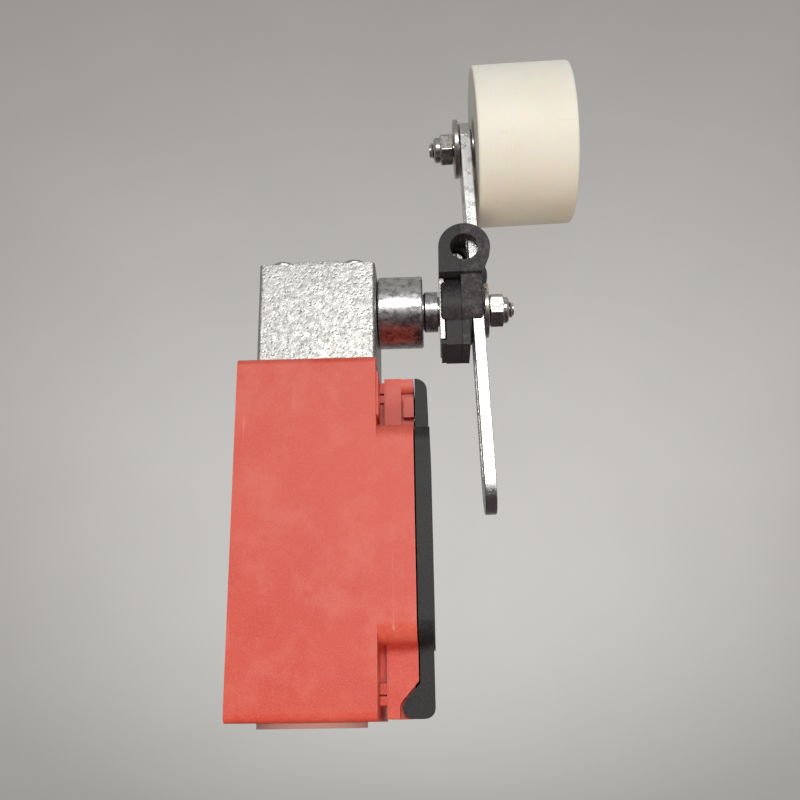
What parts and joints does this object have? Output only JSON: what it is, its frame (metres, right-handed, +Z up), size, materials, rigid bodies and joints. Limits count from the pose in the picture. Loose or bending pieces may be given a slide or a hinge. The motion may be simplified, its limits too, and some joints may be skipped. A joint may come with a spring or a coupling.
{
  "type": "limit switch",
  "caption": "Plastic-cased roller-lever limit switch with hinged front cover, sprung rotary head, adjustable slotted lever and large roller.",
  "frame": {"origin": "middle of the flat mounting face at the back of the body", "axes": "+X out of the front cover and along the lever shaft, +Z up the body towards the head and roller, +Y across the body"},
  "size_m": [0.0802, 0.041, 0.1638],
  "materials": {
    "housing_plastic": "glass-filled red thermoplastic, satin with fine mould texture and light scuffs",
    "cover_plastic": "black thermoplastic with a fine spark texture",
    "hub_plastic": "black glass-filled moulding, slightly speckled",
    "block_plastic": "dark grey moulded switching element",
    "white_plastic": "off-white acetal",
    "roller_nylon": "ivory cast nylon, satin, faint turning marks",
    "seal_rubber": "matt black nitrile",
    "die_cast_zinc": "bare die-cast zinc, mottled flow marks",
    "turned_steel": "turned and zinc plated, ring marks",
    "plated_steel": "bright zinc plating with slight yellow and brown tints",
    "lever_steel": "stamped strip, zinc plated, bright sheared edges",
    "spring_steel": "drawn spring wire",
    "contact_brass": "stamped brass"
  },
  "bodies": {
    "body": {"housing": "housing_plastic", "cover_gasket": "seal_rubber", "hinge_pin_left": "plated_steel", "hinge_pin_right": "plated_steel", "head": "die_cast_zinc", "head_seal": "seal_rubber", "head_screw_1": "plated_steel", "head_screw_2": "plated_steel", "head_screw_3": "plated_steel", "head_screw_4": "plated_steel", "bearing_barrel": "turned_steel", "shaft_seal": "seal_rubber", "contact_block": "block_plastic", "fixed_contact_1": "contact_brass", "fixed_contact_2": "contact_brass", "fixed_contact_3": "contact_brass", "fixed_contact_4": "contact_brass", "terminal_screw_1": "plated_steel", "terminal_screw_2": "plated_steel", "terminal_screw_3": "plated_steel", "terminal_screw_4": "plated_steel", "pusher_spring": "spring_steel", "plunger_spring": "spring_steel"},
    "front_cover": {"cover": "cover_plastic", "cover_screw": "plated_steel"},
    "rotor": {"shaft": "turned_steel", "cam": "turned_steel", "retaining_ring": "spring_steel", "hub": "hub_plastic", "clamp_plate": "plated_steel", "hub_screw": "plated_steel", "lever_bolt": "plated_steel", "lever_washer": "plated_steel", "lever_nut": "plated_steel"},
    "lever": {"lever_strip": "lever_steel", "axle_bolt": "plated_steel", "axle_bush": "turned_steel", "roller_washer": "plated_steel", "axle_washer": "plated_steel", "axle_nut": "plated_steel"},
    "roller_wheel": {"roller": "roller_nylon"},
    "head_pusher": {"pusher": "white_plastic"},
    "contact_carrier": {"contact_plunger": "white_plastic", "upper_bridge": "contact_brass", "lower_bridge": "contact_brass"}
  },
  "joints": [
    {"name": "lever_swing", "type": "hinge", "parent": "body", "child": "rotor", "pos_m": [0.0468, 0, 0.0569], "axis": [1, 0, 0], "range_deg": [-75, 75], "stiffness_Nm_per_rad": 0.15},
    {"name": "lever_adjust", "type": "slide", "parent": "rotor", "child": "lever", "axis": [-0.0279, 0, 0.9996], "range_m": [-0.005, 0.04]},
    {"name": "roller_spin", "type": "hinge", "parent": "lever", "child": "roller_wheel", "pos_m": [0.05532, 0, 0.10294], "axis": [0.9996, 0, 0.0279], "continuous": true},
    {"name": "cover_hinge", "type": "hinge", "parent": "body", "child": "front_cover", "pos_m": [0.0372, 0, -0.0361], "axis": [0, 1, 0], "range_deg": [0, 9]},
    {"name": "pusher_travel", "type": "slide", "parent": "body", "child": "head_pusher", "axis": [0, 0, -1], "range_m": [0, 0.003], "stiffness_N_per_m": 300, "springref_m": -0.004, "deforming": ["pusher_spring"]},
    {"name": "contact_travel", "type": "slide", "parent": "body", "child": "contact_carrier", "axis": [0, 0, -1], "range_m": [0, 0.003], "stiffness_N_per_m": 200, "springref_m": -0.004, "deforming": ["plunger_spring"]}
  ],
  "couplings": [
    {"joint": "contact_travel", "follows": "pusher_travel", "ratio": 1}
  ]
}
